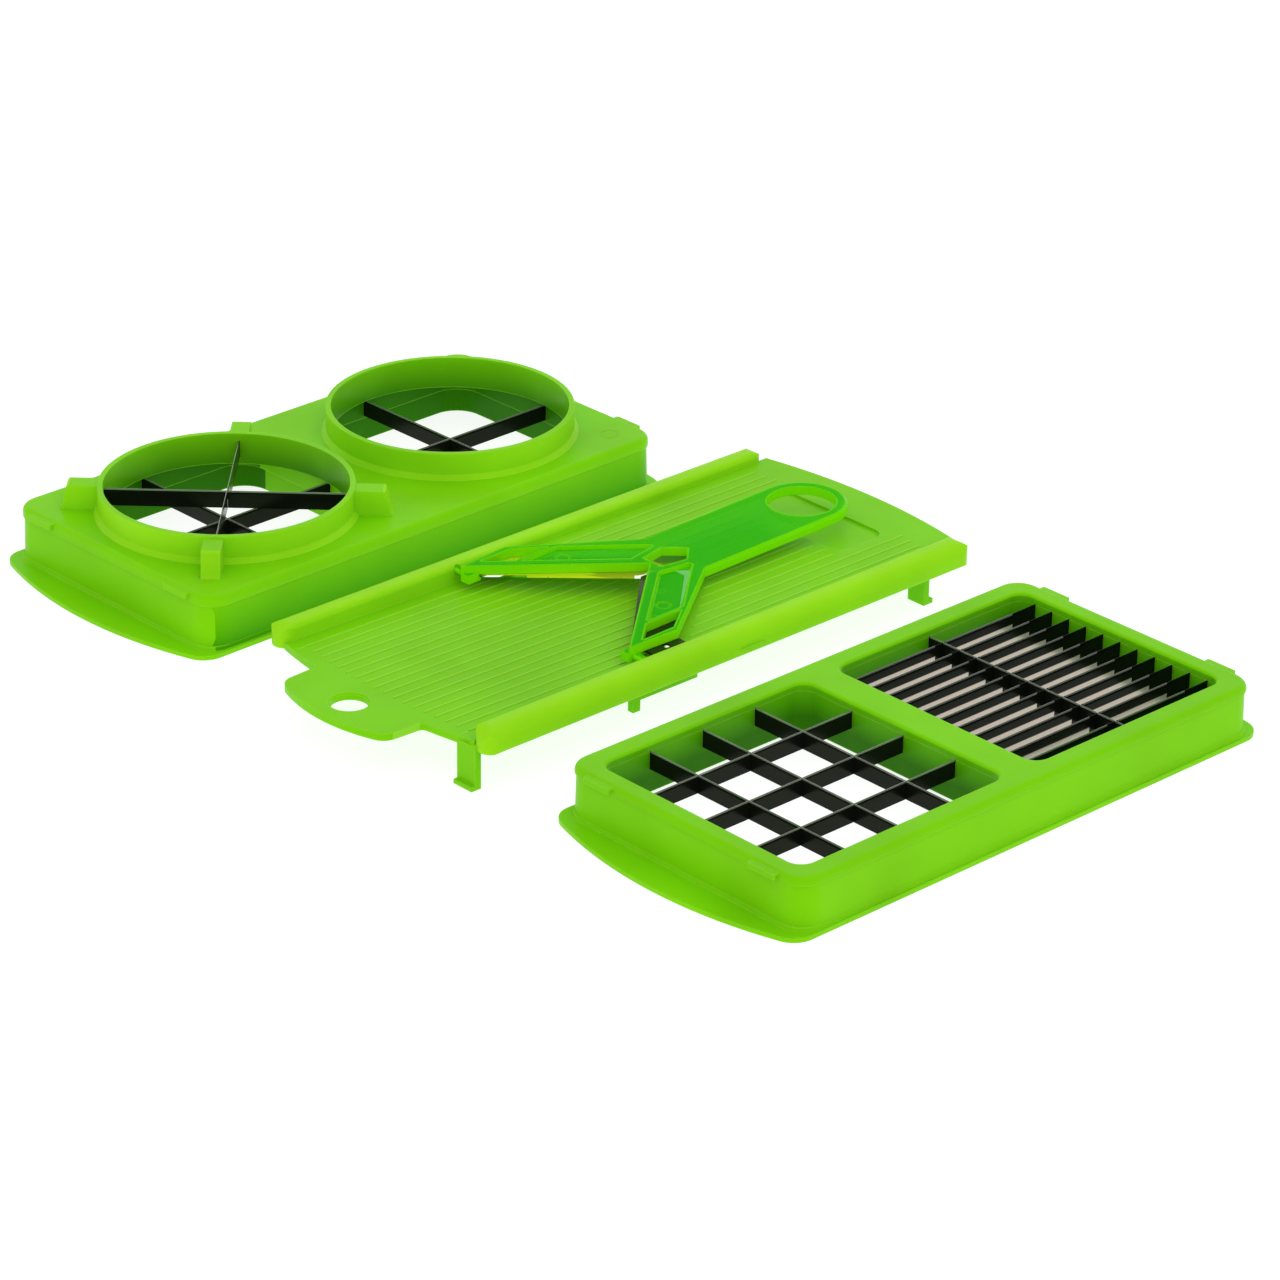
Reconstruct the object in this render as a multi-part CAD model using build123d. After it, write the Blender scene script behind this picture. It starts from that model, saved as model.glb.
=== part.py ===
from build123d import *
import math
import os

# Hand slicer and dicer set: a V-blade slicer deck with its lift-up blade carrier, a dicing insert
# with a coarse and a fine grid, and a wedge insert with two ring collars.  Millimetres, +Z up.
# The long sides of all three pieces run along X.  The floor they stand on is z = 0.

# --- common to both inserts ------------------------------------------------------------------
insert_length = 161.2        # wall length at the parting plane
insert_width = 82.8
insert_corner_r = 6.6
rim_lip = 0.3                # how far the upper part overhangs the lower wall
skirt_wall = 2.0
flange_thick = 1.2
flange_side = 1.3
flange_near_end = (2.1, 9.7)    # bow beyond the wall at the corners and in the middle
flange_far_end = (1.2, 6.0)
flange_corner_r = 6.5
blade_thick = 0.45
blade_height = 5.0
blade_grip = 2.6             # how far a blade runs into its frame at each end
slot_clear = 0.05
lug_length = 9.4
lug_centre_y = 28.8
lug_proud = 1.2

# --- dicing insert ---------------------------------------------------------------------------
dicer_parting_z = 13.0
dicer_draft = 0.3
dicer_rim_height = 2.2
coarse_pitch = 18.0
fine_pitch = 6.0
window_width = 70.0
sleeve_wall = 1.6                 # sleeve that carries each dicer window down from the top
sleeve_foot_z = 1.6
coarse_x = (-74.9, -4.9)
fine_x = (5.9, 75.0)
cross_blade_x = 40.6

# --- wedge insert ----------------------------------------------------------------------------
wedge_parting_z = 13.5
wedge_draft = 0.4
wedge_cover_height = 3.2
wedge_turn = 0.8             # degrees; this insert is laid down a little askew
ring_x = 40.28               # ring centres at -ring_x and +ring_x
ring_outer_r = 34.8
ring_inner_r = 33.3
ring_top_z = 24.3
cover_plate = 1.5
cell_half = (36.2, 36.9)     # half sizes of the square well under each ring
low_blade_top = 13.9
up_blade_top = 22.0
post_width = 5.2
post_outer_r = 43.0
post_foot_r = 45.2
post_top_z = 23.8

# --- slicer deck -----------------------------------------------------------------------------
deck_half_in = 36.4          # rail inner faces
deck_half_out = 43.8         # rail outer faces
rail_bottom_z = 11.0
rail_top_z = 17.5
rail_x = (-47.2, 124.6)
front_bow = (-50.7, 0.00306)
rear_bow = (129.8, 0.0029)
tongue_half = 20.9
tongue_x = -61.0
tongue_apex_x = -65.2
hang_hole_x = -55.7
hang_hole_r = 4.9
infeed_top_front = 13.0
infeed_top_vee = 11.7
landing_top = 14.7
plate_thick = 2.0
slope_x = (-51.0, 62.0)      # stretch of the feed ramp that slopes down to the blades
vee_slope = 1.12
infeed_vee_x = 57.8          # where the two ramp edges would meet
landing_vee_x = 63.0
front_leg_x = {1: -30.0, -1: -47.6}    # the left leg stands further in under the ramp
rib_pitch = 3.75
rib_count = 18
dish_x = (97.2, 114.8)
dish_half = 20.5
dish_depth = 0.7

# --- blade carrier ---------------------------------------------------------------------------
pivot_x = 11.9
pivot_z = 15.9
pivot_r = 1.1
pivot_bore_r = 1.16
pin_end = 39.3
carrier_tilt = 1.25          # degrees, ring end up
carrier_z = (16.45, 18.9)    # underside and top before the tilt
panel_drop = 0.8
arm_tip_front = (9.7, 32.7)
arm_apex_x = 47.2
arm_tip_back = (25.9, 33.7)
arm_root_back = (55.5, 12.5)
finger_x = 103.2
finger_r = 9.3
stem_half = 12.5
vee_blade_z = (15.8, 16.4)
stake_u = (10.5, 20.5)
stake_r = 1.1

# --- where the three pieces stand -------------------------------------------------------------
deck_at = (-32.3, -1.1)
dicer_at = (8.2, -106.2)
wedge_at = (-2.5, 105.1)

parts = {}


def rounded(length, width, r, z, h, taper=0.0):
    return extrude(Pos(0, 0, z) * RectangleRounded(length, width, r), amount=h, taper=taper)


def block(x, y, z):
    """box between the given (low, high) pairs"""
    return Pos((x[0] + x[1]) / 2, (y[0] + y[1]) / 2, (z[0] + z[1]) / 2) * Box(
        x[1] - x[0], y[1] - y[0], z[1] - z[0])


def pocket(x, y, r, z):
    cx, cy = (x[0] + x[1]) / 2, (y[0] + y[1]) / 2
    return Pos(cx, cy, 0) * rounded(x[1] - x[0], y[1] - y[0], r, z[0], z[1] - z[0])


def prism(points, z, mirrored=False):
    if mirrored:
        points = [(x, -y) for x, y in points]
    return extrude(Pos(0, 0, z[0]) * make_face(Polyline(*points, close=True)), amount=z[1] - z[0])


def flange(base_l, base_w):
    """foot flange: straight along the sides, bowed outwards at both ends"""
    y = base_w / 2 + flange_side
    x0, x0m = -base_l / 2 - flange_near_end[0], -base_l / 2 - flange_near_end[1]
    x1, x1m = base_l / 2 + flange_far_end[0], base_l / 2 + flange_far_end[1]
    edge = [Line((x0, -y), (x1, -y)), ThreePointArc((x1, -y), (x1m, 0), (x1, y)),
            Line((x1, y), (x0, y)), ThreePointArc((x0, y), (x0m, 0), (x0, -y))]
    body = extrude(make_face(edge), amount=flange_thick)
    return fillet(body.edges().filter_by(Axis.Z), flange_corner_r)


def skirt(parting, draft):
    """outer wall of an insert with its foot flange, still solid inside"""
    base_l, base_w = insert_length + 2 * draft, insert_width + 2 * draft
    lean_angle = math.degrees(math.atan(draft / parting))
    wall = rounded(base_l, base_w, insert_corner_r + draft, 0, parting, taper=lean_angle)
    cove = rounded(base_l + 1.6, base_w + 1.6, insert_corner_r + draft, 0, 2.2, taper=20)
    return wall + flange(base_l, base_w) + cove


def blade(length, top, notches, notch_from_top, thick=blade_thick, height=blade_height):
    """flat strip along X with a ground top edge and half-height notches where others cross"""
    t = thick / 2
    section = [(-t, top - height), (t, top - height), (t, top - 0.9), (0.06, top),
               (-0.06, top), (-t, top - 0.9)]
    face = Plane.YZ * make_face(Polyline(*section, close=True))
    strip = extrude(face, amount=length / 2, both=True)
    mid = top - height / 2
    span = (mid - 0.02, top + 1) if notch_from_top else (top - height - 1, mid + 0.02)
    gap = thick / 2 + slot_clear
    for x in notches:
        strip -= block((x - gap, x + gap), (-1, 1), span)
    return strip


def blade_slot(length, top, height=blade_height):
    g = blade_thick / 2 + slot_clear
    return block((-length / 2 - 0.1, length / 2 + 0.1), (-g, g), (top - height - 0.05, top + 0.05))


def place(shape, at, turn=0):
    return Pos(at[0], at[1], 0) * (Rot(0, 0, turn) * shape)


def lugs(top_z):
    """the four small catches on the short ends of an insert's upper part"""
    out = []
    for sx in (-1, 1):
        for sy in (-1, 1):
            x = sx * (insert_length / 2 + rim_lip + lug_proud - 1.5)
            y = sy * lug_centre_y
            lug = block((x - 1.5, x + 1.5), (y - lug_length / 2, y + lug_length / 2), (top_z - 2.0, top_z - 0.5))
            out.append(fillet(lug.edges().filter_by(Axis.Z), 0.6))
    return out


def upper_part(z0, height):
    """rounded slab that closes the top of an insert"""
    slab = rounded(insert_length + 2 * rim_lip, insert_width + 2 * rim_lip, insert_corner_r, z0, height)
    return fillet(slab.edges().group_by(Axis.Z)[-1], 1.7)


# ================================== dicing insert =============================================
def dicer():
    z0 = dicer_parting_z
    half = window_width / 2
    coarse_c = (coarse_x[0] + coarse_x[1]) / 2
    fine_c = (fine_x[0] + fine_x[1]) / 2
    lower = skirt(z0, dicer_draft)
    inner_l, inner_w = insert_length / 2 - skirt_wall, insert_width / 2 - skirt_wall
    lower -= pocket((-inner_l, -0.6), (-inner_w, inner_w), 5.5, (-1, z0 - 6.2))
    lower -= pocket((1.6, inner_l), (-inner_w, inner_w), 5.5, (-1, z0 - 6.2))
    for x in (coarse_x, fine_x):
        around = (x[0] - sleeve_wall, x[1] + sleeve_wall)
        lower += pocket(around, (-half - sleeve_wall, half + sleeve_wall), 5.0, (sleeve_foot_z, z0 - 6))
        lower -= pocket(x, (-half, half), 4.0, (-1, z0 + 1))

    rim = upper_part(z0, dicer_rim_height)
    for x in (coarse_x, fine_x):
        rim -= pocket(x, (-half, half), 4.0, (z0 - 1, z0 + dicer_rim_height + 1))
    inner_top = [e for e in rim.edges().group_by(Axis.Z)[-1]
                 if abs(e.center().Y) < half + 0.1 and abs(e.center().X) < 75.5]
    rim = fillet(inner_top, 1.0)
    for lug in lugs(z0 + dicer_rim_height):
        rim += lug

    names = {}
    reach = window_width + 2 * blade_grip
    steps = (-coarse_pitch, 0.0, coarse_pitch)
    for i, off in enumerate(steps):
        long_at = Pos(coarse_c, off, 0)
        short_at = Pos(coarse_c + off, 0, 0) * Rot(0, 0, 90)
        names["coarse_blade_long_%d" % (i + 1)] = long_at * blade(reach, z0, steps, True)
        names["coarse_blade_short_%d" % (i + 1)] = short_at * blade(reach, z0, steps, False)
        lower -= long_at * blade_slot(reach, z0)
        lower -= short_at * blade_slot(reach, z0)
    fine_len = fine_x[1] - fine_x[0] + 2 * blade_grip
    rows = [fine_pitch * (k - 5) for k in range(11)]
    for k, y in enumerate(rows):
        row_at = Pos(fine_c, y, 0)
        names["fine_blade_%02d" % (k + 1)] = row_at * blade(fine_len, z0, (cross_blade_x - fine_c,), True)
        lower -= row_at * blade_slot(fine_len, z0)
    cross_at = Pos(cross_blade_x, 0, 0) * Rot(0, 0, 90)
    names["fine_cross_blade"] = cross_at * blade(reach, z0, rows, False)
    lower -= cross_at * blade_slot(reach, z0)
    names["dicer_lower_frame"] = lower
    names["dicer_top_rim"] = rim
    for n, s in names.items():
        parts[n] = place(s, dicer_at)


# ================================== wedge insert ==============================================
def post(top):
    """upright block outside the first ring that grips the end of an upper blade"""
    a, b, half = post_outer_r, post_foot_r, post_width / 2
    z_low = top - 0.3
    side = [(ring_inner_r + 0.8, z_low), (b, z_low), (b - 0.7, z_low + 1.4), (a, post_top_z),
            (ring_inner_r + 0.8, post_top_z)]
    body = extrude(Plane.XZ * make_face(Polyline(*side, close=True)), amount=half, both=True)
    outer = [e for e in body.edges().filter_by(Axis.Y) if e.center().X > a - 0.5 and e.center().Z > z_low + 2]
    return fillet(outer, 0.8)


def wedge():
    z0 = wedge_parting_z
    top = z0 + wedge_cover_height
    shelf = top - cover_plate
    lower = skirt(z0, wedge_draft)
    lower += rounded(insert_length - 4.6, insert_width - 4.6, 5.5, z0 - 1, shelf - z0 + 0.98)
    inner_l, inner_w = insert_length / 2 - skirt_wall, insert_width / 2 - skirt_wall
    for s in (-1, 1):
        x = sorted((s * 1.1, s * inner_l))
        lower -= pocket(x, (-inner_w, inner_w), 8.0, (-1, z0 - 5.4))
        x = sorted((s * (ring_x - cell_half[0]), s * (ring_x + cell_half[0])))
        lower -= pocket(x, (-cell_half[1], cell_half[1]), 8.0, (z0 - 7, z0 + 5))

    cover = upper_part(z0, wedge_cover_height)
    cover -= rounded(insert_length - 4.2, insert_width - 4.2, 5.5, z0 - 1, shelf - z0 + 1)
    low = (Align.CENTER, Align.CENTER, Align.MIN)
    for s in (-1, 1):
        cover += Pos(s * ring_x, 0, shelf) * Cylinder(ring_outer_r, ring_top_z - shelf, align=low)
        cover += Pos(s * ring_x, 0, top - 0.2) * Cone(ring_outer_r + 1.3, ring_outer_r, 1.6, align=low)
    for k in range(4):
        cover += Pos(-ring_x, 0, 0) * (Rot(0, 0, 45 + 90 * k) * post(top))
    bump = Pos(ring_outer_r - 0.3, 0, top - 0.2) * Cylinder(3.6, ring_top_z - 0.8 - top, align=low)
    cover += Pos(ring_x, 0, 0) * (Rot(0, 0, 45) * bump)
    for s in (-1, 1):
        cover -= Pos(s * ring_x, 0, shelf - 2) * Cylinder(ring_inner_r, 20, align=low)
    for lug in lugs(top):
        cover += lug

    names = {}
    long_low, short_low = 2 * cell_half[0] + 4.0, 2 * cell_half[1] + 4.0
    for s, tag in ((-1, "eighths"), (1, "quarters")):
        long_at = Pos(s * ring_x, 0, 0)
        short_at = Pos(s * ring_x, 0, 0) * Rot(0, 0, 90)
        names["%s_low_blade_long" % tag] = long_at * blade(long_low, low_blade_top, (0,), True)
        names["%s_low_blade_short" % tag] = short_at * blade(short_low, low_blade_top, (0,), False)
        lower -= long_at * blade_slot(long_low, low_blade_top)
        lower -= short_at * blade_slot(short_low, low_blade_top)
    up_len = 2 * (ring_outer_r + 4.5)
    for turn, cut, tag in ((45, True, "a"), (135, False, "b")):
        up_at = Pos(-ring_x, 0, 0) * Rot(0, 0, turn)
        names["eighths_up_blade_%s" % tag] = up_at * blade(up_len, up_blade_top, (0,), cut)
        cover -= up_at * blade_slot(up_len, up_blade_top)
    names["wedge_lower_frame"] = lower
    names["wedge_top_cover"] = cover
    for n, s in names.items():
        parts[n] = place(s, wedge_at, wedge_turn)


# ================================== slicer deck ===============================================
def deck_outline_front():
    """plan of the feed side: front edge, tongue and the vee edge of the ramp"""
    a, b = front_bow
    w = deck_half_in + 0.6
    at = lambda u: a + b * u * u
    yt = tongue_half
    mid = (w + yt) / 2
    back = infeed_vee_x - vee_slope * w
    edges = [
        ThreePointArc((at(w), w), (at(mid), mid), (at(yt), yt)),
        Line((at(yt), yt), (tongue_x, yt - 0.6)),
        ThreePointArc((tongue_x, yt - 0.6), (tongue_apex_x, 0), (tongue_x, -yt + 0.6)),
        Line((tongue_x, -yt + 0.6), (at(yt), -yt)),
        ThreePointArc((at(yt), -yt), (at(mid), -mid), (at(w), -w)),
        Line((at(w), -w), (back, -w)),
        Line((back, -w), (infeed_vee_x, 0)),
        Line((infeed_vee_x, 0), (back, w)),
        Line((back, w), (at(w), w)),
    ]
    body = extrude(make_face(edges), amount=30)
    tips = [e for e in body.edges().filter_by(Axis.Z) if e.center().X < tongue_x + 0.5]
    body = fillet(tips, 4.6)
    roots = [e for e in body.edges().filter_by(Axis.Z)
             if abs(abs(e.center().Y) - yt) < 0.3 and -50.5 < e.center().X < -46]
    return fillet(roots, 1.6)


def deck():
    w = deck_half_in + 0.6
    (xa, xb), za, zb = slope_x, infeed_top_front, infeed_top_vee
    side = [(-80, za), (xa, za), (xb, zb), (xb, zb - plate_thick), (xa, za - plate_thick), (-80, za - plate_thick)]
    slab = extrude(Plane.XZ * make_face(Polyline(*side, close=True)), amount=60, both=True)
    infeed = slab & deck_outline_front()
    infeed -= Pos(hang_hole_x, 0, 0) * Cylinder(hang_hole_r, 60)
    infeed -= Pos(hang_hole_x, 0, infeed_top_front - 0.35) * Cone(
        hang_hole_r - 0.25, hang_hole_r + 0.55, 0.8, align=(Align.CENTER, Align.CENTER, Align.CENTER))

    a, b = rear_bow
    land_face = make_face([
        Line((landing_vee_x - 1.2 * w, w), (landing_vee_x, 0)),
        Line((landing_vee_x, 0), (landing_vee_x - 1.2 * w, -w)),
        Line((landing_vee_x - 1.2 * w, -w), (a - b * w * w, -w)),
        ThreePointArc((a - b * w * w, -w), (a, 0), (a - b * w * w, w)),
        Line((a - b * w * w, w), (landing_vee_x - 1.2 * w, w))])
    landing = extrude(Pos(0, 0, landing_top - plate_thick) * land_face, amount=plate_thick)
    landing -= pocket(dish_x, (-dish_half, dish_half), 4.0, (landing_top - dish_depth, landing_top + 2))
    body = infeed + landing

    fall = (za - zb) / (xb - xa)
    for k in range(rib_count):
        u = (k - (rib_count - 1) / 2) * rib_pitch
        x0 = front_bow[0] + 4.6 + 0.0022 * u * u
        x1 = infeed_vee_x - vee_slope * abs(u) - 2.6
        if x1 - x0 > 6:
            z_mid = za - fall * ((x0 + x1) / 2 - xa)
            tilt = math.degrees(math.atan(fall))
            body += Pos((x0 + x1) / 2, u, z_mid) * Rot(0, tilt, 0) * Box(x1 - x0, 0.5, 0.4)
        x0 = landing_vee_x - 1.2 * abs(u) + 7
        x1 = 119 - 0.0029 * u * u
        if abs(u) > dish_half + 0.5:
            body += block((x0, x1), (u - 0.25, u + 0.25), (landing_top - 0.2, landing_top + 0.2))
        else:
            body += block((x0, dish_x[0] - 2.5), (u - 0.25, u + 0.25), (landing_top - 0.2, landing_top + 0.2))

    zb, zt, yi, yo = rail_bottom_z, rail_top_z, deck_half_in, deck_half_out
    for s in (1, -1):
        p = lambda y, z: (s * y, z)
        wire = [Line(p(yi, zb), p(yo - 0.6, zb)), ThreePointArc(p(yo - 0.6, zb), p(yo - 0.18, zb + 0.18),
                                                                p(yo, zb + 0.6)),
                Line(p(yo, zb + 0.6), p(yo, zt - 4.0)),
                ThreePointArc(p(yo, zt - 4.0), p(yo - 1.15, zt - 1.2), p(yo - 4.0, zt)),
                Line(p(yo - 4.0, zt), p(yi + 1.6, zt)),
                ThreePointArc(p(yi + 1.6, zt), p(yi + 0.47, zt - 0.47), p(yi, zt - 1.6)),
                Line(p(yi, zt - 1.6), p(yi, zb))]
        rail = extrude(Plane.YZ * make_face(wire), amount=rail_x[1])
        rail += extrude(Plane.YZ * make_face(wire), amount=rail_x[0])
        length, mid_x = rail_x[1] - rail_x[0], (rail_x[0] + rail_x[1]) / 2
        plan = Pos(mid_x, s * (yi + yo) / 2, 0) * rounded(length, yo - yi + 0.02, 3.7, 0, 40)
        elev = extrude(Plane.XZ * (Pos(mid_x, (zb + zt) / 2 - 4) * RectangleRounded(
            length, zt - zb + 8.0, 3.9)), amount=80, both=True)
        body += rail & plan & elev
        # hooked legs that clip the deck onto a container
        x = front_leg_x[s]
        body += block((x, x + 2.0), sorted((s * 31.9, s * 38.7)), (0, 12))
        body += block((x - 1.2, x + 1.8), sorted((s * 31.9, s * 38.7)), (0, 1.2))
        body += block((112.7, 114.6), sorted((s * 31.7, s * 37.7)), (0, 13.6))
        body += block((112.9, 116.1), sorted((s * 31.7, s * 37.7)), (0, 1.3))
        body += block((10.9, 33.5), sorted((s * 31.2, s * 33.2)), (3.0, 11.2))
        body += block((10.9, 13.4), sorted((s * 31.2, s * 33.2)), (0, 4))
        bore = Pos(pivot_x, s * (yi + 1.6), pivot_z) * Rot(90, 0, 0) * Cylinder(pivot_bore_r, 3.9)
        body -= bore
    parts["slicer_deck"] = place(body, deck_at)


# ================================== blade carrier =============================================
def lean(shape):
    """turn the carrier about its pivot so that the finger ring stands a little high"""
    shape = Pos(-pivot_x, 0, -pivot_z) * shape
    return place(Pos(pivot_x, 0, pivot_z) * (Rot(0, -carrier_tilt, 0) * shape), deck_at)


def front_x(u):
    """x of the arm's front edge at the distance u from the centre line"""
    return arm_apex_x - (arm_apex_x - arm_tip_front[0]) * u / arm_tip_front[1]


def back_x(u):
    run = (arm_root_back[0] - arm_tip_back[0]) / (arm_tip_back[1] - arm_root_back[1])
    return arm_tip_back[0] + (arm_tip_back[1] - u) * run


def carrier():
    z0, z1 = carrier_z
    low = (Align.CENTER, Align.CENTER, Align.MIN)
    arm = prism([(front_x(0), 0), arm_tip_front, arm_tip_back, arm_root_back, (back_x(0), 0)], (z0, z1))
    root_u, tip_u, end_u = 5.6, 24.4, 31.6
    panel = [(front_x(root_u) + 4.8, root_u), (front_x(tip_u) + 4.6, tip_u), (back_x(tip_u) - 2.6, tip_u),
             (back_x(root_u + 1.6) - 7.0, root_u + 1.6)]
    arm -= prism(panel, (z1 - panel_drop, z1 + 1))
    window = [(front_x(25.6) + 4.6, 25.6), (front_x(end_u) + 4.6, end_u), (back_x(end_u) - 2.6, end_u),
              (back_x(25.6) - 2.6, 25.6)]
    arm -= prism(window, (z0 - 1, z1 + 1))
    arm -= Pos(34.0, 19.5, z1 - panel_drop - 0.15) * Cylinder(1.9, 1, align=low)
    arm += block((arm_tip_front[0], 14.0), (arm_tip_front[1] - 3.2, arm_tip_front[1]), (pivot_z - 1.3, z0 + 0.5))
    arm += Pos(pivot_x, (arm_tip_front[1] + pin_end) / 2 - 0.5, pivot_z) * (Rot(90, 0, 0) * Cylinder(
        pivot_r, pin_end - arm_tip_front[1] + 1))
    for u in stake_u:
        arm += Pos(front_x(u) + 6.0, u, vee_blade_z[0] - 0.4) * Cylinder(stake_r, 1.2, align=low)

    stem = prism([(arm_root_back[0], -stem_half), (finger_x, -stem_half), (finger_x, stem_half),
                  (arm_root_back[0], stem_half), (arm_root_back[0] - 1.5, 0)], (z0, z1))
    stem += Pos(finger_x, 0, z0) * Cylinder(stem_half, z1 - z0, align=low)
    body = arm + mirror(arm, about=Plane.XZ) + stem
    apex = [(48.3, -3.4), (48.3, 3.4), (56.0, 4.8), (61.0, 0), (56.0, -4.8)]
    body -= prism(apex, (z0 - 1, z1 + 1))
    body -= Pos(finger_x, 0, 10) * Cylinder(finger_r, 40)
    outline = [e for e in body.edges().group_by(Axis.Z)[-1]
               if e.center().X > arm_root_back[0] + 6 and (abs(abs(e.center().Y) - stem_half) < 0.3
                                                         or e.center().X > finger_x + stem_half * 0.3)]
    body = chamfer(outline, 0.7)
    parts["blade_carrier"] = lean(body)


def vee_blades():
    z0, z1 = vee_blade_z
    edge_u, tail_u = 29.2, 36.0
    for s, tag in ((1, "left"), (-1, "right")):
        pts = [(front_x(0.6) - 3.0, 0.6), (front_x(edge_u) - 0.4, edge_u), (15.3, 30.4), (15.3, tail_u),
               (26.2, tail_u), (back_x(32.0) - 2.0, 32.0), (back_x(8.0) - 9.5, 8.0), (front_x(0.6) + 6.0, 0.6)]
        steel = prism([(x, s * y) for x, y in pts], (z0, z1))
        for u in stake_u:
            steel -= Pos(front_x(u) + 6.0, s * u, z0 - 1) * Cylinder(stake_r + 0.06, 6)
        steel -= Pos(20.9, s * 34.4, z0 - 1) * Cylinder(1.2, 6)
        # ground front edge: a slope taken off the underside along the cutting edge
        a, b = Vector(pts[0][0], s * pts[0][1], 0), Vector(pts[1][0], s * pts[1][1], 0)
        along = (b - a).normalized()
        inward = Vector(abs(along.Y), s * abs(along.X), 0)
        plane = Plane(origin=a - along * 6, x_dir=inward, z_dir=inward.cross(Vector(0, 0, 1)))
        depth, flat = z1 - z0 - 0.1, 1.5
        cut = [(-4, -1), (flat, -1), (flat, 0), (0, depth), (-4, depth)]
        cut = [(x, z0 + y) for x, y in cut]
        run = (b - a).length + 5.5
        solid = extrude(plane * make_face(Polyline(*cut, close=True)), amount=run, both=True)
        keep = prism([(-10, s * 0), (80, s * 0), (80, s * edge_u), (-10, s * edge_u)], (0, 40))
        parts["vee_blade_%s" % tag] = lean(steel - (solid & keep))


deck()
carrier()
vee_blades()
dicer()
wedge()

for name, shape in parts.items():
    solids = shape.solids() if hasattr(shape, "solids") else [shape]
    export_step(shape if len(solids) > 1 else solids[0], "parts/%s.step" % name)
box = Compound(children=[s.solids()[0] for s in parts.values()]).bounding_box()
print(len(parts), "nodes", [round(v, 2) for v in (box.min.X, box.max.X, box.min.Y, box.max.Y, box.min.Z, box.max.Z)])
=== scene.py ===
import bpy
import math
from mathutils import Matrix, Vector


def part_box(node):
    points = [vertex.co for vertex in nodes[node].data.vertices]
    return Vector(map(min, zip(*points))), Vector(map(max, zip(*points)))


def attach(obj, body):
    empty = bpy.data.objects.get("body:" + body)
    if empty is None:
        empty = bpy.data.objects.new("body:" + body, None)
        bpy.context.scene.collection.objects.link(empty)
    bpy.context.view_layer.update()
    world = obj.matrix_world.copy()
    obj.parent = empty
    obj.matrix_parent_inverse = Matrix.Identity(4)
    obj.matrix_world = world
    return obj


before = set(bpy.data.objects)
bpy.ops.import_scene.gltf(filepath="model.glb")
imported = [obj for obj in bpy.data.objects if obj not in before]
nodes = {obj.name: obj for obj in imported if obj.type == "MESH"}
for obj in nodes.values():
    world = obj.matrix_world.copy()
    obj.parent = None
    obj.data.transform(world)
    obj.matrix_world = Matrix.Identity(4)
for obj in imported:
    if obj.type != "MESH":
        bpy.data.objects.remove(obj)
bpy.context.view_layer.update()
mm = 0.001
print("frame loaded with", len(nodes), "nodes")


def newMaterial(name):
    mat = bpy.data.materials.new(name)
    mat.use_nodes = True
    tree = mat.node_tree
    shader = tree.nodes["Principled BSDF"]
    return mat, tree, shader


def addNode(tree, kind, **values):
    node = tree.nodes.new(kind)
    for key, value in values.items():
        if key in node.inputs:
            node.inputs[key].default_value = value
        else:
            setattr(node, key, value)
    return node


def noiseNode(tree, scale, detail=3.0, rough=0.5, stretch=(1, 1, 1)):
    coord = addNode(tree, "ShaderNodeTexCoord")
    mapping = addNode(tree, "ShaderNodeMapping", Scale=stretch)
    noise = addNode(tree, "ShaderNodeTexNoise", Scale=scale, Detail=detail, Roughness=rough)
    tree.links.new(coord.outputs["Object"], mapping.inputs["Vector"])
    tree.links.new(mapping.outputs["Vector"], noise.inputs["Vector"])
    return noise.outputs["Fac"]


def placeNode(tree, output="Object"):
    # X, Y and Z of the piece's own place or normal, which a joint doesn't change
    coord = addNode(tree, "ShaderNodeTexCoord")
    split = addNode(tree, "ShaderNodeSeparateXYZ")
    tree.links.new(coord.outputs[output], split.inputs["Vector"])
    return split


def rampNode(tree, source, stops):
    ramp = addNode(tree, "ShaderNodeValToRGB")
    elements = ramp.color_ramp.elements
    while len(elements) < len(stops):
        elements.new(0.5)
    for element, (place, color) in zip(elements, stops):
        element.position = place
        element.color = (*color, 1)
    tree.links.new(source, ramp.inputs["Fac"])
    return ramp.outputs["Color"]


def rangeNode(tree, source, low, high, outLow, outHigh):
    remap = addNode(tree, "ShaderNodeMapRange")
    remap.inputs["From Min"].default_value = low
    remap.inputs["From Max"].default_value = high
    remap.inputs["To Min"].default_value = outLow
    remap.inputs["To Max"].default_value = outHigh
    tree.links.new(source, remap.inputs["Value"])
    return remap.outputs["Result"]


def edgeMask(tree, radius, low=0.90, high=0.998):
    # 1 along rounded-over edges, 0 on the flats
    bevel = addNode(tree, "ShaderNodeBevel", samples=4, Radius=radius)
    geometry = addNode(tree, "ShaderNodeNewGeometry")
    dot = addNode(tree, "ShaderNodeVectorMath", operation="DOT_PRODUCT")
    tree.links.new(bevel.outputs["Normal"], dot.inputs[0])
    tree.links.new(geometry.outputs["Normal"], dot.inputs[1])
    return rangeNode(tree, dot.outputs["Value"], low, high, 1.0, 0.0)


def mixColor(tree, factor, first, second):
    mix = addNode(tree, "ShaderNodeMix", data_type="RGBA")
    tree.links.new(factor, mix.inputs[0])
    for socket, source in ((mix.inputs[6], first), (mix.inputs[7], second)):
        if isinstance(source, tuple):
            socket.default_value = (*source, 1)
        else:
            tree.links.new(source, socket)
    return mix.outputs[2]


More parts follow.
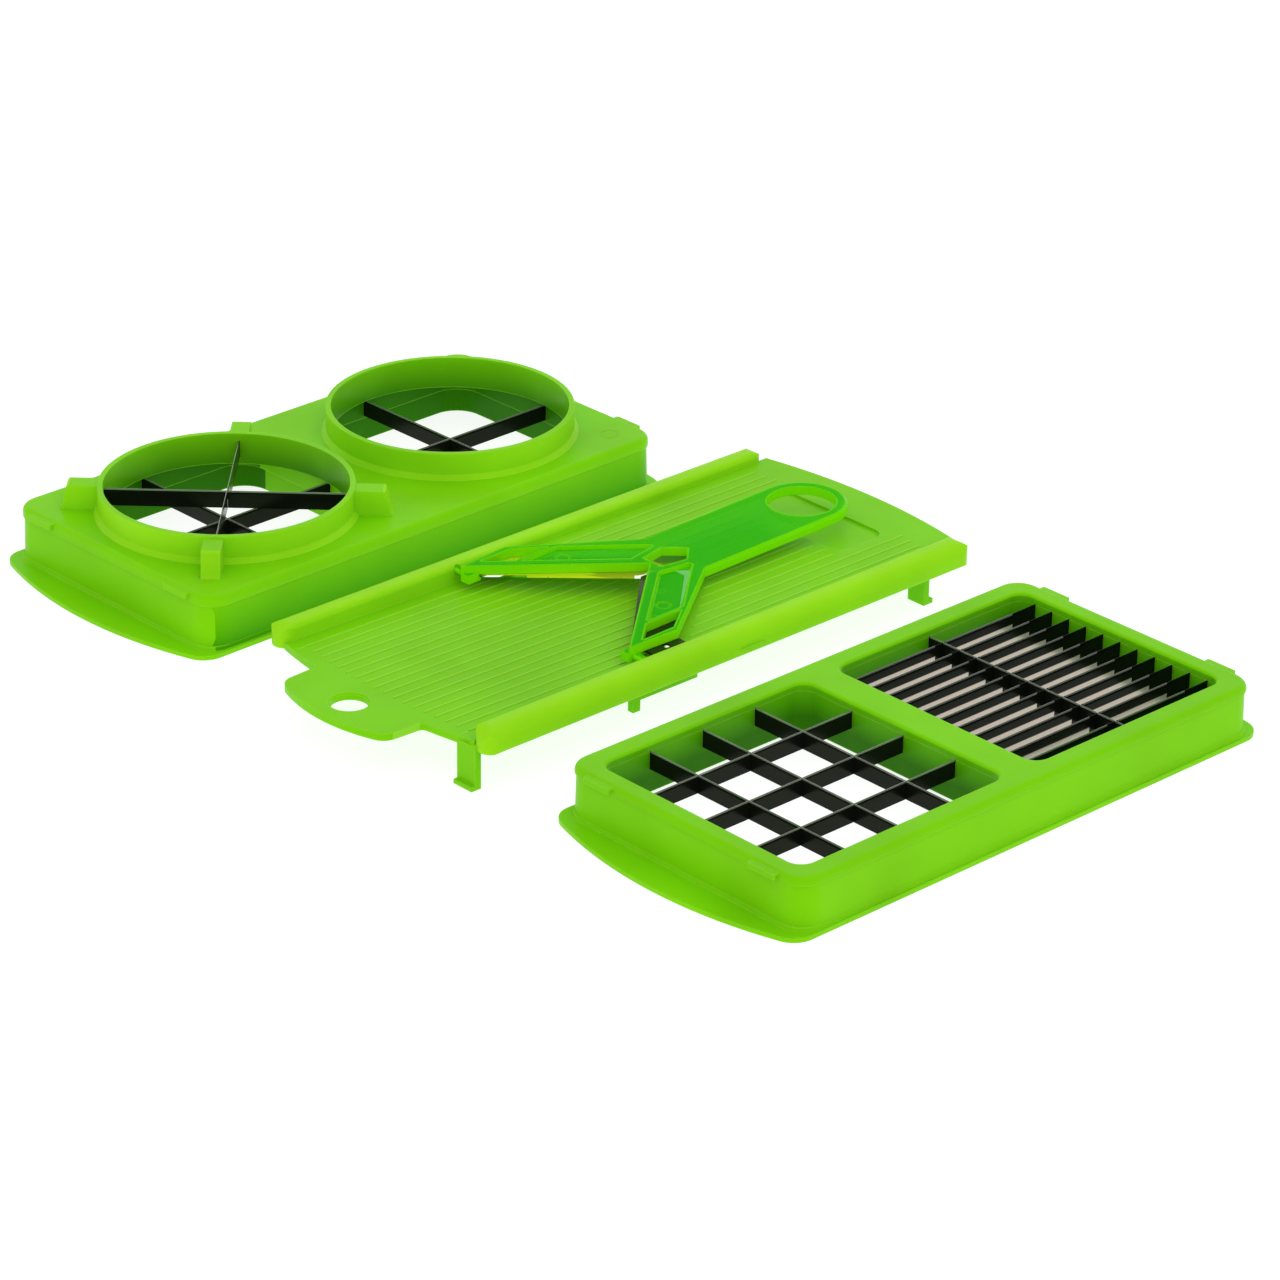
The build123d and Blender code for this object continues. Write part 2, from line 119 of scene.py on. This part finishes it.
def softEdges(tree, shader, look):
    # rounded-looking edges under a fine moulded grain
    bevel = addNode(tree, "ShaderNodeBevel", samples=4, Radius=look["edge"])
    bump = addNode(tree, "ShaderNodeBump", Strength=0.25, Distance=look["grainDepth"])
    tree.links.new(noiseNode(tree, look["grainScale"], 4.0), bump.inputs["Height"])
    tree.links.new(bevel.outputs["Normal"], bump.inputs["Normal"])
    tree.links.new(bump.outputs["Normal"], shader.inputs["Normal"])


plasticLook = {
    "paintedHighlightTone": (0.40, 0.80, 0.05),    # painted highlight: thin lighter line along the edges
    "paintedHighlightWidth": 0.45 * mm,
    "paintedHighlightAmount": 0.45,
    "cloudScale": 28.0,                # slow changes of tone
    "cloudTones": (0.9, 1.0, 1.08),
    "glossScale": 160.0,
    "rough": (0.30, 0.42),
    "scatter": 0.22,
    "scatterColor": (0.5, 1.0, 0.1),
    "scatterSize": 2.5 * mm,
    "shine": 0.09,
    "shineTint": (0.7, 1.0, 0.12),
    "edge": 0.35 * mm,
    "grainScale": 900.0,
    "grainDepth": 0.06 * mm,
}


def makePlastic(name, tone, look=plasticLook, paintedShade=None):
    # the last argument is (low z, high z, tone at the low z): painted shade for walls that darken
    # downwards
    mat, tree, shader = newMaterial(name)
    cloud = noiseNode(tree, look["cloudScale"], 2.0)
    tones = [tuple(c * k for c in tone) for k in look["cloudTones"]]
    color = rampNode(tree, cloud, [(0.3, tones[0]), (0.5, tones[1]), (0.72, tones[2])])
    if paintedShade:
        lowZ, highZ, shadeFoot = paintedShade
        level = rangeNode(tree, placeNode(tree).outputs["Z"], lowZ, highZ, 0.0, 1.0)
        color = mixColor(tree, level, shadeFoot, color)
    # painted highlight: the rounded edges are mixed toward a lighter tone
    paintedHighlight = rangeNode(tree, edgeMask(tree, look["paintedHighlightWidth"]), 0.0, 1.0, 0.0, look["paintedHighlightAmount"])
    color = mixColor(tree, paintedHighlight, color, look["paintedHighlightTone"])
    tree.links.new(color, shader.inputs["Base Color"])
    gloss = rangeNode(tree, noiseNode(tree, look["glossScale"], 3.0), 0.3, 0.7, *look["rough"])
    tree.links.new(gloss, shader.inputs["Roughness"])
    shader.inputs["Subsurface Weight"].default_value = look["scatter"]
    shader.inputs["Subsurface Radius"].default_value = look["scatterColor"]
    shader.inputs["Subsurface Scale"].default_value = look["scatterSize"]
    shader.inputs["Specular IOR Level"].default_value = look["shine"]
    shader.inputs["Specular Tint"].default_value = (*look["shineTint"], 1)
    softEdges(tree, shader, look)
    return mat


limeTones = {
    "flat": (0.185, 0.59, 0.003),      # tops and ramps
    "rail": (0.29, 0.70, 0.009),       # thick rounded rails; lighter than flat as a painted highlight
    "rib": (0.27, 0.66, 0.03),         # fine raised lines; lighter than flat as a painted highlight
    "collar": (0.20, 0.62, 0.003),
}
paintedShadeTones = {                         # painted shade, darker downwards: tone at the top, low z, high z, tone at the low z
    "shade": ((0.16, 0.56, 0.002), 2 * mm, 13 * mm, (0.06, 0.36, 0.001)),
    "window": ((0.11, 0.48, 0.002), 6 * mm, 15 * mm, (0.03, 0.19, 0.002)),
    "bowlShade": ((0.15, 0.52, 0.003), 14 * mm, 24 * mm, (0.03, 0.20, 0.002)),
}
plastics = {key: makePlastic(key + "Plastic", tone) for key, tone in limeTones.items()}
for key, (tone, lowZ, highZ, shadeFoot) in paintedShadeTones.items():
    plastics[key] = makePlastic(key + "Plastic", tone, paintedShade=(lowZ, highZ, shadeFoot))
print("plastics made")

clearGreen = {
    "body": (0.035, 0.60, 0.0),
    "glow": (0.24, 0.86, 0.001),       # cut sides and rims gather the light
    "alpha": 0.62,
    "edgeAlpha": 0.9,
    "rimWidth": 1.1 * mm,
    "rough": 0.14,
    "shine": 0.02,
    "shineTint": (0.5, 1.0, 0.05),
    "edge": 0.25 * mm,
    "grainScale": 300.0,
    "grainDepth": 0.05 * mm,
}


def makeClear(name, look):
    mat, tree, shader = newMaterial(name)
    upright = addNode(tree, "ShaderNodeMath", operation="ABSOLUTE")
    tree.links.new(placeNode(tree, "Normal").outputs["Z"], upright.inputs[0])
    side = rangeNode(tree, upright.outputs[0], 0.6, 0.95, 1.0, 0.0)  # 1 on cut sides, 0 on flats
    rim = addNode(tree, "ShaderNodeMath", operation="MAXIMUM")
    tree.links.new(side, rim.inputs[0])
    tree.links.new(edgeMask(tree, look["rimWidth"]), rim.inputs[1])
    color = mixColor(tree, rim.outputs[0], look["body"], look["glow"])
    tree.links.new(color, shader.inputs["Base Color"])
    alpha = rangeNode(tree, rim.outputs[0], 0.0, 1.0, look["alpha"], look["edgeAlpha"])
    tree.links.new(alpha, shader.inputs["Alpha"])
    shader.inputs["Roughness"].default_value = look["rough"]
    shader.inputs["Specular IOR Level"].default_value = look["shine"]
    shader.inputs["Specular Tint"].default_value = (*look["shineTint"], 1)
    softEdges(tree, shader, look)
    return mat


carrierClear = makeClear("carrierClear", clearGreen)

darkSteel = {
    "face": (0.011, 0.015, 0.008),
    "low": (0.011, 0.015, 0.008),      # lower part of the face; where it differs from the face tone, a painted reflection
    "edge": (0.34, 0.38, 0.30),        # ground top edge
    "rough": (0.16, 0.26),
}
# painted reflection: the cream low tone stands for the white floor seen in the fine blades
fineSteel = {
    "face": (0.008, 0.011, 0.006),
    "low": (0.62, 0.55, 0.46),
    "edge": (0.26, 0.29, 0.24),
    "rough": (0.14, 0.24),
}
veeDark = {
    "face": (0.03, 0.05, 0.01),
    "low": (0.03, 0.05, 0.01),
    "edge": (0.06, 0.08, 0.02),
    "rough": (0.12, 0.2),
}
# painted highlight: bright yellow standing for light on the left blade's front, not the steel's
# colour
veeGlint = {
    "face": (0.86, 0.82, 0.02),
    "low": (0.86, 0.82, 0.02),
    "edge": (0.5, 0.52, 0.02),
    "rough": (0.25, 0.35),
}
steelLook = {
    "metal": 0.6,
    "shine": 0.08,
    "reflectionUpTo": 0.38,                   # share of the height where the low tone, the painted reflection, ends
    "faceFrom": 0.43,
    "edgeHeight": 0.35 * mm,
    "lineScale": 220.0,                # fine grinding lines, along the blade
    "lineStretch": (1, 1, 12),
    "lineDepth": 0.05 * mm,
}


def steelFor(name, tones, nodeName, dimSpans=()):
    # dimSpans are stretches of x where the painted reflection of the low tone is left off
    low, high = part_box(nodeName)
    top, height = high[2], high[2] - low[2]
    mat, tree, shader = newMaterial(name)
    place = placeNode(tree)
    level = rangeNode(tree, place.outputs["Z"], top - height, top, 0.0, 1.0)
    edgeAt = 1.0 - steelLook["edgeHeight"] / height
    color = rampNode(tree, level, [(0.0, tones["low"]), (steelLook["reflectionUpTo"], tones["low"]),
                                   (steelLook["faceFrom"], tones["face"]),
                                   (edgeAt - 0.02, tones["face"]), (edgeAt, tones["edge"])])
    for lowX, highX in dimSpans:
        inside = addNode(tree, "ShaderNodeMath", operation="COMPARE")
        inside.inputs[1].default_value = (lowX + highX) / 2
        inside.inputs[2].default_value = (highX - lowX) / 2
        tree.links.new(place.outputs["X"], inside.inputs[0])
        color = mixColor(tree, inside.outputs[0], color, tones["face"])
    tree.links.new(color, shader.inputs["Base Color"])
    shader.inputs["Metallic"].default_value = steelLook["metal"]
    shader.inputs["Specular IOR Level"].default_value = steelLook["shine"]
    lines = noiseNode(tree, steelLook["lineScale"], 4.0, 0.6, steelLook["lineStretch"])
    tree.links.new(rangeNode(tree, lines, 0.3, 0.7, *tones["rough"]), shader.inputs["Roughness"])
    bump = addNode(tree, "ShaderNodeBump", Strength=0.08, Distance=steelLook["lineDepth"])
    tree.links.new(lines, bump.inputs["Height"])
    tree.links.new(bump.outputs["Normal"], shader.inputs["Normal"])
    return mat


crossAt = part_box("fine_cross_blade")[0][0]
coarseSteel = steelFor("coarseSteel", darkSteel, "coarse_blade_long_1")
fineBladeSteel = steelFor("fineBladeSteel", fineSteel, "fine_blade_01",
                          dimSpans=[(crossAt - 3 * mm, crossAt + 1 * mm),
                                    (crossAt + 26 * mm, crossAt + 40 * mm)])
crossSteel = steelFor("crossSteel", darkSteel, "fine_cross_blade")
lowSteel = steelFor("lowSteel", darkSteel, "quarters_low_blade_long")
upSteel = steelFor("upSteel", darkSteel, "eighths_up_blade_a")
veeSteel = steelFor("veeSteel", veeDark, "vee_blade_left")
veeGlintSteel = steelFor("veeGlintSteel", veeGlint, "vee_blade_left")
print("steels made")


def paint(nodeName, mat):
    data = nodes[nodeName].data
    data.materials.clear()
    data.materials.append(mat)


def paintFaces(nodeName, mat, test):
    # a second material on the faces that the test picks, by corners, centre and normal
    data = nodes[nodeName].data
    data.materials.append(mat)
    slot = len(data.materials) - 1
    for face in data.polygons:
        if test([data.vertices[i].co for i in face.vertices], face.center, face.normal):
            face.material_index = slot


def middle(nodeName):
    low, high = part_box(nodeName)
    return (Vector(low) + Vector(high)) / 2


veeTail = {"endX": -10 * mm}           # the tail of the left blade stays dark

for nodeName in nodes:
    if nodeName.startswith("coarse_"):
        paint(nodeName, coarseSteel)
    elif nodeName == "fine_cross_blade":
        paint(nodeName, crossSteel)
    elif nodeName.startswith("fine_"):
        paint(nodeName, fineBladeSteel)
    elif "_up_blade_" in nodeName:
        paint(nodeName, upSteel)
    elif "_low_blade_" in nodeName:
        paint(nodeName, lowSteel)
    elif nodeName == "vee_blade_left":
        # painted highlight: the left blade takes the bright yellow, its tail keeps the dark steel
        paint(nodeName, veeGlintSteel)
        paintFaces(nodeName, veeSteel, lambda p, c, n: c.x < veeTail["endX"])
    elif nodeName.startswith("vee_"):
        paint(nodeName, veeSteel)
print("blades painted")

deckMid = middle("slicer_deck")
dicerMid = middle("dicer_top_rim")
wedgeMid = middle("wedge_top_cover")
rails = {"innerY": 36.2 * mm, "lowZ": 11.1 * mm}
ribs = {"pitch": 3.75 * mm, "count": 18, "half": 0.3 * mm, "reach": 33 * mm, "lowZ": 10.5 * mm}
windows = {"reachX": 77.5 * mm, "frameY": 38 * mm, "rimY": 36 * mm}
rings = {"offset": 40.3 * mm, "inner": 34.3 * mm, "outer": (34.0 * mm, 46 * mm), "footZ": 16.9 * mm}
longWall = {"fromMiddle": 38 * mm, "lowZ": 1.5 * mm}


def onRib(corners, center, normal):
    across = center.y - deckMid.y
    if abs(across) > ribs["reach"] or center.z < ribs["lowZ"]:
        return False
    last = (ribs["count"] - 1) / 2
    line = deckMid.y + (round(across / ribs["pitch"] + last) - last) * ribs["pitch"]
    return all(abs(p.y - line) < ribs["half"] for p in corners)


def inWindow(center, reachY):
    return (abs(center.y - dicerMid.y) < reachY
            and abs(center.x - dicerMid.x) < windows["reachX"])


def facesInward(corners, center, normal):
    across = center - wedgeMid
    return abs(normal.z) < 0.9 and across.x * normal.x + across.y * normal.y < 0


def onLongWall(corners, center, normal):
    return (normal.y < -0.8 and center.z > longWall["lowZ"]
            and center.y < wedgeMid.y - longWall["fromMiddle"])


def fromRing(center):
    across = center - wedgeMid
    return Vector((across.x - math.copysign(rings["offset"], across.x), across.y, 0))


def insideRing(corners, center, normal):
    arm = fromRing(center)
    return (arm.length < rings["inner"] and abs(normal.z) < 0.6
            and arm.dot(Vector((normal.x, normal.y, 0))) < 0)


def outsideRing(corners, center, normal):
    arm = fromRing(center)
    nearest, furthest = rings["outer"]
    return (nearest < arm.length < furthest and center.z > rings["footZ"]
            and arm.dot(Vector((normal.x, normal.y, 0))) > 0)


paint("slicer_deck", plastics["flat"])
# painted highlight: the rails take the lighter rail tone
paintFaces("slicer_deck", plastics["rail"],
           lambda p, c, n: abs(c.y - deckMid.y) > rails["innerY"] and c.z > rails["lowZ"])
# painted highlight: the fine ribs take the lighter rib tone
paintFaces("slicer_deck", plastics["rib"], onRib)
paint("blade_carrier", carrierClear)
paint("dicer_lower_frame", plastics["collar"])
# painted shade: the frame's window walls darken downwards
paintFaces("dicer_lower_frame", plastics["window"],
           lambda p, c, n: inWindow(c, windows["frameY"]) and abs(n.z) < 0.9)
paint("dicer_top_rim", plastics["flat"])
# painted shade: the rim's window walls darken downwards
paintFaces("dicer_top_rim", plastics["window"],
           lambda p, c, n: inWindow(c, windows["rimY"]) and abs(n.z) < 0.3)
paint("wedge_lower_frame", plastics["collar"])
paintFaces("wedge_lower_frame", plastics["shade"], onLongWall)
# painted shade: the inward walls darken downwards
paintFaces("wedge_lower_frame", plastics["bowlShade"], facesInward)
paint("wedge_top_cover", plastics["collar"])
# painted highlight: the outsides of the rings take the lighter rail tone
paintFaces("wedge_top_cover", plastics["rail"], outsideRing)
# painted shade: the inner ring walls darken downwards
paintFaces("wedge_top_cover", plastics["bowlShade"], insideRing)
print("mouldings painted")


def meshObject(name, verts, faces, mat, body, slotName):
    mesh = bpy.data.meshes.new(name)
    mesh.from_pydata([tuple(v) for v in verts], [], faces)
    mesh.materials.append(mat)
    obj = bpy.data.objects.new(name, mesh)
    bpy.context.collection.objects.link(obj)
    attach(obj, body)


groundEdgeGlint = {
    "width": 1.9 * mm,
    "taper": 0.35,                     # share of the width lost at the tip
    "overlap": 0.1 * mm,
    "thick": 0.16 * mm,
    "lip": 0.05 * mm,                  # thickness left at the sharp side
    "from": 0.02,                      # share of the blade's length
    "to": 0.70,
    "drop": 0.1 * mm,
    "tilt": 1.25,                      # degrees, as the carrier leans
}


def makeGroundEdgeGlint():
    # thin bevelled strip along the front of the left blade, in the painted yellow highlight
    corners = [v.co for v in nodes["vee_blade_left"].data.vertices]
    seam = min(v.y for v in corners)
    apex = max((v for v in corners if v.y < seam + 0.3 * mm), key=lambda v: v.z - 2 * v.x)
    tip = min(corners, key=lambda v: v.x)
    run = Vector((tip.x - apex.x, tip.y - apex.y, 0))
    run.z = run.x * math.tan(math.radians(groundEdgeGlint["tilt"]))
    ahead = Vector((-run.y, run.x, 0)).normalized()
    if ahead.x > 0:
        ahead = -ahead
    verts = []
    for part in (groundEdgeGlint["from"], groundEdgeGlint["to"]):
        width = groundEdgeGlint["width"] * (1.0 - groundEdgeGlint["taper"] * part)
        for out, up in ((-groundEdgeGlint["overlap"], 0), (width, 0),
                        (-groundEdgeGlint["overlap"], groundEdgeGlint["thick"]), (width, groundEdgeGlint["lip"])):
            verts.append(apex + run * part + ahead * out + Vector((0, 0, up - groundEdgeGlint["drop"])))
    faces = [(0, 1, 5, 4), (2, 6, 7, 3), (0, 4, 6, 2), (1, 3, 7, 5), (0, 2, 3, 1), (4, 5, 7, 6)]
    meshObject("veeGroundEdgeGlint", verts, faces, veeGlintSteel, "blade_insert", "blade_steel")


markShape = {
    "radius": 2.7 * mm,
    "width": 0.45 * mm,
    "height": 0.06 * mm,
    "sunk": 0.04 * mm,
    "coverTop": 16.7 * mm,
    "turns": 40,
}
marks = {"coverMark": (-71.5 * mm, -31.5 * mm), "coverMarkFar": (71.5 * mm, -31.5 * mm)}


def ringMesh(center):
    # flat raised circle, closed all round
    radius, width, height = markShape["radius"], markShape["width"], markShape["height"]
    turns, sunk = markShape["turns"], markShape["sunk"]
    verts, faces = [], []
    for i in range(turns):
        angle = 2 * math.pi * i / turns
        for r, z in ((radius - width, -sunk), (radius - width * 0.7, height),
                     (radius - width * 0.3, height), (radius, -sunk)):
            verts.append(center + Vector((r * math.cos(angle), r * math.sin(angle), z)))
    for i in range(turns):
        a, b = 4 * i, 4 * ((i + 1) % turns)
        faces += [(a + k, b + k, b + (k + 1) % 4, a + (k + 1) % 4) for k in range(4)]
    return verts, faces


def makeMarks():
    # round ejector marks in the corners of the wedge cover
    for name, (x, y) in marks.items():
        center = Vector((wedgeMid.x + x, wedgeMid.y + y, markShape["coverTop"]))
        meshObject(name, *ringMesh(center), plastics["rib"], "wedge_insert", "insert_plastic")


flash = {
    "startX": 6.0 * mm,
    "length": 9.0 * mm,
    "height": 0.9 * mm,
    "thick": 0.16 * mm,
    "z": 13.0 * mm,
    "inset": 0.1 * mm,
    "steps": 22,
}


def makeRailFlash():
    # ragged sliver of flash on the outside of the near rail
    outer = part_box("slicer_deck")[0][1]
    verts, faces = [], []
    for i in range(flash["steps"] + 1):
        t = i / flash["steps"]
        tall = flash["height"] * math.sin(math.pi * t) * (0.55 + 0.45 * abs(math.sin(9.0 * t + 1.0)))
        x = flash["startX"] + flash["length"] * t
        for y, z in ((flash["inset"], 0), (-tall - 0.05 * mm, 0.25 * tall),
                     (-tall, 0.25 * tall + flash["thick"]), (flash["inset"], flash["thick"])):
            verts.append(Vector((x, outer + y, flash["z"] + z)))
    for i in range(flash["steps"]):
        a, b = 4 * i, 4 * (i + 1)
        faces += [(a + k, a + (k + 1) % 4, b + (k + 1) % 4, b + k) for k in range(4)]
    last = 4 * flash["steps"]
    faces += [(3, 2, 1, 0), (last, last + 1, last + 2, last + 3)]
    meshObject("railFlash", verts, faces, plastics["rib"], "slicer", "deck_plastic")


makeGroundEdgeGlint()
makeMarks()
makeRailFlash()
print("small pieces made")

studio = {
    "floorSize": 6.0,
    "floorDrop": 0.02 * mm,
    "floorTone": (0.25, 0.25, 0.25),
    "floorGlow": 0.86,
    "sky": 0.88,
    "keyPower": 3.0,
    "keySize": 1.2,
    "keyAt": (-0.5, -1.0, 1.3),
    "fillPower": 1.5,
    "fillAt": (0.9, 0.2, 1.4),
}


def makeFloor():
    size = studio["floorSize"] / 2
    mesh = bpy.data.meshes.new("floor")
    corners = [(-size, -size, 0), (size, -size, 0), (size, size, 0), (-size, size, 0)]
    mesh.from_pydata(corners, [], [(0, 1, 2, 3)])
    floor = bpy.data.objects.new("floor", mesh)
    bpy.context.collection.objects.link(floor)
    floor.location.z = -studio["floorDrop"]
    mat, _, shader = newMaterial("floorWhite")
    shader.inputs["Base Color"].default_value = (*studio["floorTone"], 1)
    shader.inputs["Roughness"].default_value = 0.9
    shader.inputs["Specular IOR Level"].default_value = 0.0
    shader.inputs["Emission Color"].default_value = (1, 1, 1, 1)
    shader.inputs["Emission Strength"].default_value = studio["floorGlow"]
    mesh.materials.append(mat)


def areaLight(name, power, size, at):
    lamp = bpy.data.lights.new(name, "AREA")
    lamp.energy = power
    lamp.size = size
    lampObject = bpy.data.objects.new(name, lamp)
    bpy.context.collection.objects.link(lampObject)
    lampObject.location = at
    lampObject.rotation_euler = (-Vector(at)).to_track_quat("-Z", "Y").to_euler()


makeFloor()
world = bpy.data.worlds.new("studio")
world.use_nodes = True
world.node_tree.nodes["Background"].inputs["Color"].default_value = (1, 1, 1, 1)
world.node_tree.nodes["Background"].inputs["Strength"].default_value = studio["sky"]
bpy.context.scene.world = world
areaLight("key", studio["keyPower"], studio["keySize"], studio["keyAt"])
areaLight("fill", studio["fillPower"], studio["keySize"], studio["fillAt"])

view = {
    "at": (-811.45 * mm, -880.8 * mm, 583.04 * mm),
    "azimuth": -43.1,
    "elevation": 25.894,
    "roll": 0.749,
    "lens": 142.29,
}
camera = bpy.data.cameras.new("camera")
camera.lens = view["lens"]
camera.sensor_width = 36.0
camera.clip_end = 20.0
cameraObject = bpy.data.objects.new("camera", camera)
bpy.context.collection.objects.link(cameraObject)
turn = Matrix.Rotation(math.radians(view["azimuth"]), 4, "Z")
tip = Matrix.Rotation(math.radians(90 - view["elevation"]), 4, "X")
roll = Matrix.Rotation(math.radians(view["roll"]), 4, "Z")
cameraObject.matrix_world = Matrix.Translation(view["at"]) @ turn @ tip @ roll
bpy.context.scene.camera = cameraObject
bpy.context.scene.view_settings.view_transform = "Standard"
print("studio and camera set")
